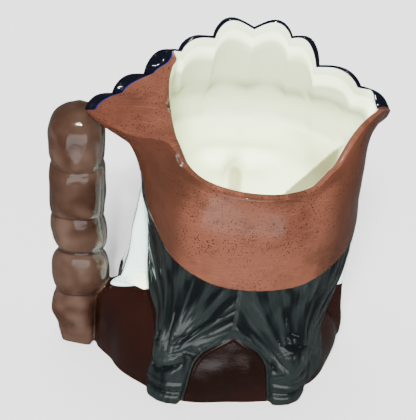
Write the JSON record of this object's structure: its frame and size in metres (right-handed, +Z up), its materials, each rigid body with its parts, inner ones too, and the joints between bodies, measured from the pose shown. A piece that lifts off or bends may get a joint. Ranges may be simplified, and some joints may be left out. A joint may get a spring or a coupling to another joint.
{
  "type": "character jug",
  "caption": "Hollow glazed ceramic jug shaped as a man's head in a feather headdress, with a pouring lip and a carved-pole handle.",
  "frame": {"origin": "middle of the flat underside, on the face's centre plane", "axes": "+Z up; -Y the way the face looks; +X towards the handle and -X towards the pouring lip"},
  "size_m": [0.1806, 0.114, 0.2],
  "materials": {
    "glazed_ceramic": "gloss glaze over hand-painted colours: brown leather, black hair, dark maroon robe, white feathers with navy tips, cream inside"
  },
  "bodies": {
    "root": {"jug": "glazed_ceramic"}
  },
  "joints": []
}
